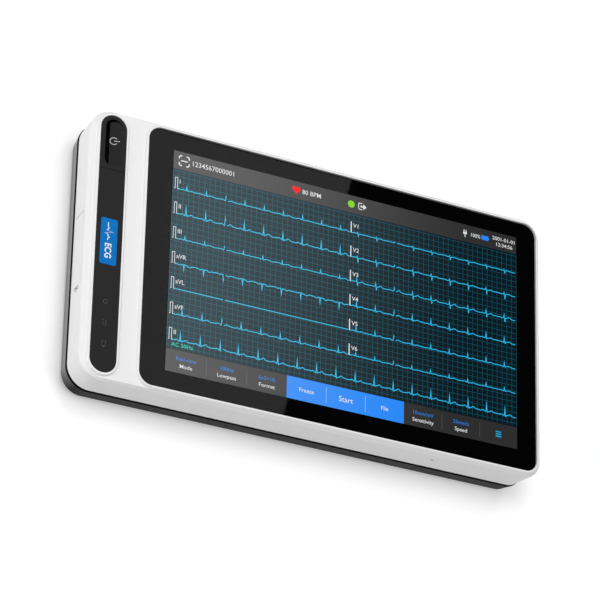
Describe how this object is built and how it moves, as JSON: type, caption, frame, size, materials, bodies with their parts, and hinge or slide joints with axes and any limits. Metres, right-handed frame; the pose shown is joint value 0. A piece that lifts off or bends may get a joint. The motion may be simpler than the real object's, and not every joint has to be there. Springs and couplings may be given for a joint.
{
  "type": "tablet ECG machine",
  "caption": "Tablet-style ECG machine lying on its feet: white front shell, glass-covered touch display, black side strip with a power key, black rear shell, hinged port flap and cable ports.",
  "frame": {"origin": "on the bench surface under the middle of the body", "axes": "+X along the long side away from the indicator strip, +Y towards the top edge of the screen, +Z out of the screen"},
  "size_m": [0.2824, 0.1566, 0.0344],
  "materials": {
    "white_shell": "fine satin texture",
    "black_shell": "satin, slightly glossy",
    "seal_rubber": "soft, dull",
    "clear_glass": "polished",
    "black_print": "glossy ceramic print under glass",
    "tape": "foam tape",
    "display": "lit colour picture",
    "diffuser": "white film stack",
    "steel": "stamped",
    "aluminium": "stamped, bead-blasted",
    "screw_steel": "turned, zinc plated",
    "strip_gloss": "piano-black acrylic",
    "key_black": "polished black",
    "badge": "blue enamelled plate with a white pulse line",
    "switch_body": "moulded",
    "plunger": "moulded",
    "board_green": "solder mask over copper",
    "lamp": "clear epoxy lamps",
    "light_pipe": "moulded acrylic",
    "shield_tin": "tinned",
    "chip_black": "moulded epoxy",
    "coin_steel": "nickel plated",
    "flex_amber": "polyimide film",
    "connector_ivory": "moulded",
    "port_metal": "nickel plated",
    "port_black": "moulded",
    "contact_gold": "gold plated",
    "speaker_black": "moulded frame",
    "foam": "closed-cell foam",
    "mic_metal": "drawn can",
    "battery_blue": "moulded tray",
    "cell_foil": "laminated foil pouch",
    "brass_insert": "knurled",
    "foot_rubber": "soft",
    "label_film": "printed film"
  },
  "bodies": {
    "main": {"front_housing": "white_shell", "rear_housing": "black_shell", "parting_seal": "seal_rubber", "cover_glass": "clear_glass", "glass_border": "black_print", "glass_tape": "tape", "display_panel": "display", "backlight": "diffuser", "display_tray": "steel", "mid_chassis": "aluminium", "strip_panel": "strip_gloss", "badge_plate": "badge", "power_switch": "switch_body", "key_board": "board_green", "status_lamps": "lamp", "light_pipes": "light_pipe", "flap_pin": "steel", "usb_c_port": "port_metal", "card_slot": "port_metal", "port_tongues": "port_black", "main_board": "board_green", "ecg_board": "board_green", "board_standoffs": "brass_insert", "board_screws": "screw_steel", "processor_shield": "shield_tin", "board_chips": "chip_black", "coin_cell": "coin_steel", "ecg_shield": "shield_tin", "flex_connectors": "connector_ivory", "display_flex": "flex_amber", "touch_flex": "flex_amber", "key_flex": "flex_amber", "board_link": "flex_amber", "patient_port_shell": "port_metal", "patient_port_body": "port_black", "patient_port_nuts": "port_metal", "dc_jack": "port_black", "usb_a_port": "port_metal", "lan_port": "port_black", "port_contacts": "contact_gold", "speaker": "speaker_black", "speaker_gasket": "foam", "mic_boot": "seal_rubber", "microphone": "mic_metal", "wifi_antenna": "board_green", "battery_case": "battery_blue", "battery_lid": "battery_blue", "battery_cells": "cell_foil", "contact_block": "port_black", "contact_blades": "contact_gold", "battery_door": "black_shell", "door_screws": "screw_steel", "housing_screws": "screw_steel", "housing_inserts": "brass_insert", "mount_inserts": "brass_insert", "rubber_feet": "foot_rubber", "rating_label": "label_film"},
    "key": {"power_key": "key_black"},
    "plunger": {"switch_plunger": "plunger"},
    "flap": {"port_flap": "white_shell"}
  },
  "joints": [
    {"name": "key_press", "type": "slide", "parent": "main", "child": "key", "axis": [0, 0, -1], "range_m": [0, 0.0005], "stiffness_N_per_m": 2500},
    {"name": "plunger_press", "type": "slide", "parent": "main", "child": "plunger", "axis": [0, 0, -1], "range_m": [0, 0.0005]},
    {"name": "flap_hinge", "type": "hinge", "parent": "main", "child": "flap", "pos_m": [-0.13945, 0.0161, 0.0237], "axis": [0.1019, 0, -0.9948], "range_deg": [0, 85]}
  ],
  "couplings": [
    {"joint": "plunger_press", "follows": "key_press", "ratio": 1}
  ]
}
